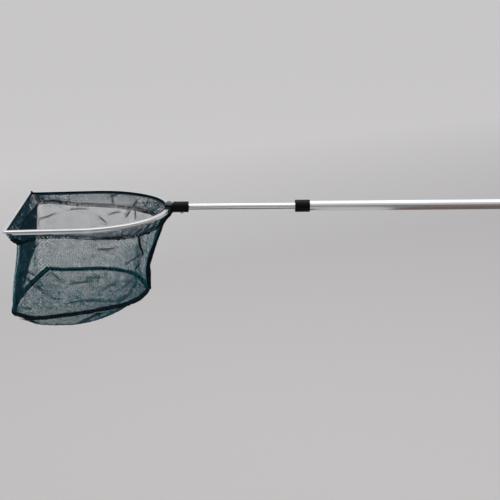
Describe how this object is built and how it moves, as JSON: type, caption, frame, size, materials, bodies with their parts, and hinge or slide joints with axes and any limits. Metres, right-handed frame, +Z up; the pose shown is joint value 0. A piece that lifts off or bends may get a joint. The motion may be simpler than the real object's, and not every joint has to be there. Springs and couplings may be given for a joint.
{
  "type": "leaf skimmer net",
  "caption": "Deep-bag leaf net on a D-shaped aluminium hoop, carried by a two-stage telescopic pole with a twist lock, a grip and a hanging eye.",
  "frame": {"origin": "middle of the grip, on the pole's axis", "axes": "+X along the pole from the net to the hanging eye, +Z up out of the bag's mouth, +Y across"},
  "size_m": [1.4938, 0.34, 0.2628],
  "materials": {
    "bright_tube": "bright drawn and anodised, faint lengthwise lines",
    "hoop_aluminium": "satin anodised extrusion",
    "black_plastic": "moulded, satin",
    "grey_plastic": "moulded, satin, lightly worn",
    "white_nylon": "turned nylon",
    "grip_rubber": "matt foam rubber",
    "steel": "zinc plated",
    "dark_cord": "laid cord",
    "hem_mesh": "doubled fine knotless mesh",
    "net_mesh": "fine knotless mesh",
    "seam_tape": "overlocked mesh seam"
  },
  "bodies": {
    "handle": {"outer_tube": "bright_tube", "grip": "grip_rubber", "end_cap": "black_plastic", "end_cap_pin": "steel", "pole_collar": "black_plastic", "guide_bush": "white_nylon"},
    "lock_ring": {"lock_ring": "white_nylon"},
    "net_head": {"inner_tube": "bright_tube", "cam_plug": "black_plastic", "cam_pin": "steel", "cam_retainer": "steel", "cam_screw": "steel", "socket_liner": "black_plastic", "hub_body": "black_plastic", "hub_cap": "grey_plastic", "hub_bolt": "steel", "hub_nut": "steel", "sleeve_screw": "steel", "frame_rail": "hoop_aluminium", "rail_joiner": "hoop_aluminium", "hem_rope": "dark_cord", "hem_band": "hem_mesh", "net_wall": "net_mesh", "bottom_seam": "seam_tape", "net_bottom": "net_mesh", "rear_seam": "seam_tape"}
  },
  "joints": [
    {"name": "pole_extend", "type": "slide", "parent": "handle", "child": "lock_ring", "axis": [-1, 0, 0], "range_m": [-0.24, 0.3]},
    {"name": "lock_twist", "type": "hinge", "parent": "lock_ring", "child": "net_head", "pos_m": [-0.3, 0, 0], "axis": [1, 0, 0], "range_deg": [0, 120]}
  ]
}
